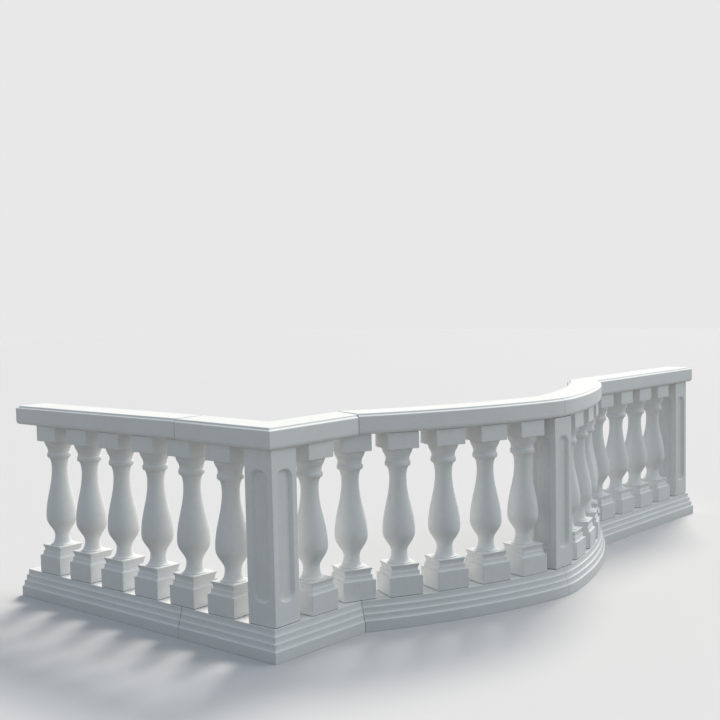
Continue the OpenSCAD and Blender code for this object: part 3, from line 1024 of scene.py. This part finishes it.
def far_light(name, azimuth, elevation, softness, strength, colour):
    """Light from far away, in degrees: from the azimuth, counted from +X towards +Y, at the elevation, and
    as wide across as its softness."""
    lamp = bpy.data.lights.new(name, "SUN")
    lamp.angle = math.radians(softness)
    lamp.energy = strength
    lamp.color = colour
    holder = bpy.data.objects.new(name, lamp)
    bpy.context.scene.collection.objects.link(holder)
    a, e = math.radians(azimuth), math.radians(elevation)
    ray = -Vector((math.cos(a) * math.cos(e), math.sin(a) * math.cos(e), math.sin(e)))
    holder.rotation_mode = "QUATERNION"
    holder.rotation_quaternion = ray.to_track_quat("-Z", "Y")


def set_lights(studio):
    """Soft key from behind and the right, a weaker light beside it that edges the shafts, a weak fill on
    the front, and an even sky. Camera and mirror rays that reach the sky show the plain backdrop."""
    warm, neutral, cool = (1.0, 0.945, 0.85), (0.98, 1.0, 1.0), (0.81, 0.93, 1.05)
    far_light("Key", 20, 44, 18, studio.key, warm)
    far_light("Rim", 0, 44, 18, studio.rim, warm)
    far_light("Fill", -40, 32, 40, studio.fill, neutral)
    world = bpy.data.worlds.new("Sky")
    bpy.context.scene.world = world
    world.use_nodes = True
    tree = world.node_tree
    background = tree.nodes["Background"].inputs
    sky = rgba(part * studio.sky for part in cool)
    feed(tree, background["Color"], blend(tree, seen_directly(tree), sky, rgba(studio.backdrop)))
    background["Strength"].default_value = 1.0


def set_camera():
    """Camera at the photograph's place and angle, with the shift that its framing needs. Angles are in
    radians: yaw from +X towards +Y, pitch down from level, and roll about the line of sight."""
    place = (-3.3654, -3.3801, 1.5192)
    yaw, pitch, roll = 0.7269, 0.0769, -0.0229
    forward = np.array([math.cos(yaw) * math.cos(pitch), math.sin(yaw) * math.cos(pitch), -math.sin(pitch)])
    right = np.array([math.sin(yaw), -math.cos(yaw), 0.0])
    up = np.cross(right, forward)
    c, s = math.cos(roll), math.sin(roll)
    axes = np.stack([c * right + s * up, -s * right + c * up, -forward], 1)
    data = bpy.data.cameras.new("Camera")
    data.lens, data.sensor_width = 56.37, 36.0
    data.shift_x, data.shift_y = 0.0327, 0.0357
    data.clip_start, data.clip_end = 0.1, 200.0
    camera = bpy.data.objects.new("Camera", data)
    bpy.context.scene.collection.objects.link(camera)
    pose = Matrix(axes.tolist()).to_4x4()
    pose.translation = Vector(place)
    camera.matrix_world = pose
    bpy.context.scene.camera = camera


class SetStage(bpy.types.Operator):
    """Set the floor, the soft lights and the camera"""

    bl_idname = "balustrade.set_stage"
    bl_label = "Set stage"

    def execute(self, context):
        studio = context.scene.studio_look
        set_floor(studio)
        set_lights(studio)
        set_camera()
        context.scene.view_settings.view_transform = "Standard"
        return {"FINISHED"}


SETTINGS = {"stone_shape": StoneShape, "stone_look": StoneLook, "studio_look": StudioLook}
OPERATORS = (LayPlinth, LayCoping, RaisePiers, TurnBalusters, PointJoints, SetStage)


class BalustradePanel(bpy.types.Panel):
    """Sizes, colours and the buttons that build each part of the balustrade"""

    bl_idname = "VIEW3D_PT_balustrade"
    bl_label = "Stone balustrade"
    bl_space_type = "VIEW_3D"
    bl_region_type = "UI"
    bl_category = "Balustrade"

    def draw(self, context):
        for key, kind in SETTINGS.items():
            box = self.layout.box()
            for setting in kind.__annotations__:
                box.prop(getattr(context.scene, key), setting)
        for operator in OPERATORS:
            self.layout.operator(operator.bl_idname)


CLASSES = (*SETTINGS.values(), *OPERATORS, BalustradePanel)


def register():
    """Adds the classes to Blender, and the three groups of settings to its scenes."""
    for cls in CLASSES:
        bpy.utils.register_class(cls)
    for key, kind in SETTINGS.items():
        setattr(bpy.types.Scene, key, bpy.props.PointerProperty(type=kind))


def unregister():
    """Takes the settings and the classes away again."""
    for key in SETTINGS:
        delattr(bpy.types.Scene, key)
    for cls in reversed(CLASSES):
        bpy.utils.unregister_class(cls)


def main():
    register()
    bpy.ops.balustrade.lay_plinth()
    bpy.ops.balustrade.lay_coping()
    bpy.ops.balustrade.raise_piers()
    bpy.ops.balustrade.turn_balusters()
    bpy.ops.balustrade.point_joints()
    bpy.ops.balustrade.set_stage()
    bpy.context.view_layer.update()


if __name__ == "__main__":
    main()
